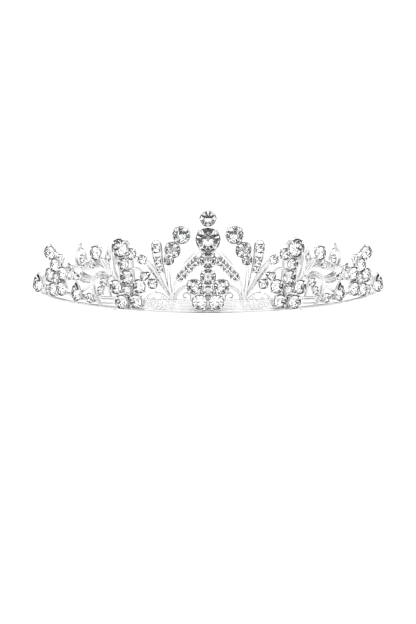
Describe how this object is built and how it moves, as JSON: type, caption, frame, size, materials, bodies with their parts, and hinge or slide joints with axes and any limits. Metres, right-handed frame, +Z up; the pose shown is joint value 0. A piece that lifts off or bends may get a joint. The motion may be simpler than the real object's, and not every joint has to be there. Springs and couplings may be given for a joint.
{
  "type": "tiara with side combs",
  "caption": "Openwork tiara: a cast front of scrolls, leaves and stone flowers, and two flat side bands that end in hair combs.",
  "frame": {"origin": "on the surface that the tiara rests on, under the middle of its bounding box", "axes": "+Z up, the front of the tiara towards -Y, the combs towards +Y, +X to the wearer's left"},
  "size_m": [0.1356, 0.155, 0.0375],
  "materials": {
    "silver_plated_casting": "bright silver plate on a cast zinc alloy",
    "plated_steel_strip": "satin silver plate on steel strip",
    "crystal": "clear, polished and foil-backed"
  },
  "bodies": {
    "root": {"front_frame": "silver_plated_casting", "side_comb_right": "plated_steel_strip", "side_comb_left": "plated_steel_strip", "crest_top_stone": "crystal", "crest_main_stone": "crystal", "crest_lower_stone": "crystal", "center_petal_1": "crystal", "center_petal_2": "crystal", "center_petal_3": "crystal", "center_petal_4": "crystal", "center_petal_5": "crystal", "twin_upper_stone_right": "crystal", "twin_lower_stone_right": "crystal", "cluster_stone_right": "crystal", "fan_stone_right": "crystal", "rail_pear_right": "crystal", "tip_stone_right": "crystal", "end_pear_right": "crystal", "rose_petal_1_right": "crystal", "rose_petal_2_right": "crystal", "rose_petal_3_right": "crystal", "rose_petal_4_right": "crystal", "rose_petal_5_right": "crystal", "end_rose_petal_1_right": "crystal", "end_rose_petal_2_right": "crystal", "end_rose_petal_3_right": "crystal", "end_rose_petal_4_right": "crystal", "end_rose_petal_5_right": "crystal", "twin_upper_stone_left": "crystal", "twin_lower_stone_left": "crystal", "cluster_stone_left": "crystal", "fan_stone_left": "crystal", "rail_pear_left": "crystal", "tip_stone_left": "crystal", "end_pear_left": "crystal", "rose_petal_1_left": "crystal", "rose_petal_2_left": "crystal", "rose_petal_3_left": "crystal", "rose_petal_4_left": "crystal", "rose_petal_5_left": "crystal", "end_rose_petal_1_left": "crystal", "end_rose_petal_2_left": "crystal", "end_rose_petal_3_left": "crystal", "end_rose_petal_4_left": "crystal", "end_rose_petal_5_left": "crystal"}
  },
  "joints": []
}
